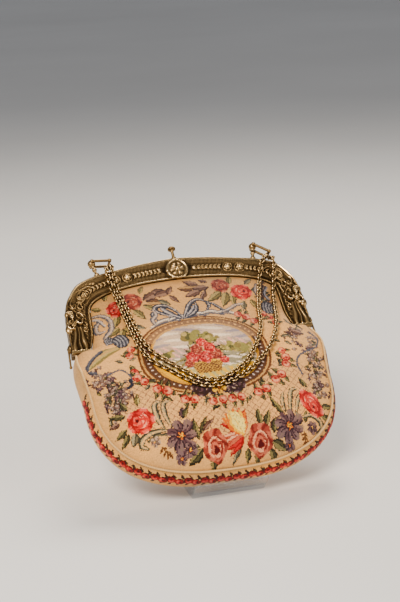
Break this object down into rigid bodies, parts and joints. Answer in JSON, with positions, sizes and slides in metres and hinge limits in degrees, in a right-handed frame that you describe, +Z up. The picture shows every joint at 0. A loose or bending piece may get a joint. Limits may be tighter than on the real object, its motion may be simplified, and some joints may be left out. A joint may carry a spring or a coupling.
{
  "type": "embroidered purse on a clear display stand",
  "caption": "Petit-point evening purse with a cast gilt arched frame, push clasp and draped carrying chain, leaning back on a clear bent-sheet display stand.",
  "frame": {"origin": "middle of the stand's base, on the surface it stands on", "axes": "+Z up, +Y towards the back where the purse leans, +X to the right as seen from the front"},
  "size_m": [0.2074, 0.164, 0.1648],
  "materials": {
    "gilt": "aged gilt, dark in the hollows",
    "gilt_plain": "aged gilt, plain",
    "chain": "aged gilt, worn bright",
    "embroidery": "petit-point stitches on a cream ground",
    "gold_cord": "twisted gold thread",
    "acrylic": "clear polished"
  },
  "bodies": {
    "purse": {"frame_front": "gilt", "frame_back": "gilt_plain", "hinge_left": "gilt", "hinge_right": "gilt", "shackle_left": "gilt", "shackle_right": "gilt", "chain_inner": "chain", "chain_outer": "chain", "bag_front": "embroidery", "bag_back": "embroidery", "bag_gusset": "embroidery", "seam_cord_front": "gold_cord", "seam_cord_back": "gold_cord", "display_stand": "acrylic"},
    "pusher": {"clasp_pusher": "gilt"}
  },
  "joints": [
    {"name": "clasp_push", "type": "slide", "parent": "purse", "child": "pusher", "axis": [0, -0.7071, -0.7071], "range_m": [0, 0.002], "stiffness_N_per_m": 300}
  ]
}
